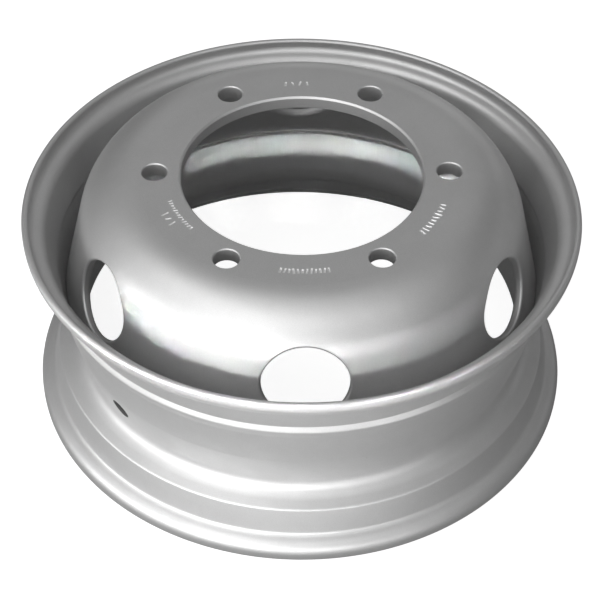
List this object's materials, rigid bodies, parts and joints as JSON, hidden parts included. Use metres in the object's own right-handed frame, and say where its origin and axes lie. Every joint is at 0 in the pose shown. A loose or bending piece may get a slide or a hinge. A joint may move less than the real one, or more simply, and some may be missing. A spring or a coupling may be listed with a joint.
{
  "type": "truck wheel",
  "caption": "Pressed steel truck wheel: a rolled drop centre rim with tapered bead seats, welded round a dished disc with a centre bore, bolt holes and round hand holes.",
  "frame": {"origin": "centre of the floor plane under the inboard edge of the rim, the wheel lying with its convex disc face up", "axes": "+Z along the wheel's axis toward the outboard face of the disc; one hand hole faces -Y; the bolt holes start on +X"},
  "size_m": [0.4698, 0.4698, 0.219],
  "materials": {
    "silver_paint": "satin silver paint over steel"
  },
  "bodies": {
    "root": {"rim": "silver_paint", "disc": "silver_paint", "weld_bead": "silver_paint"}
  },
  "joints": []
}
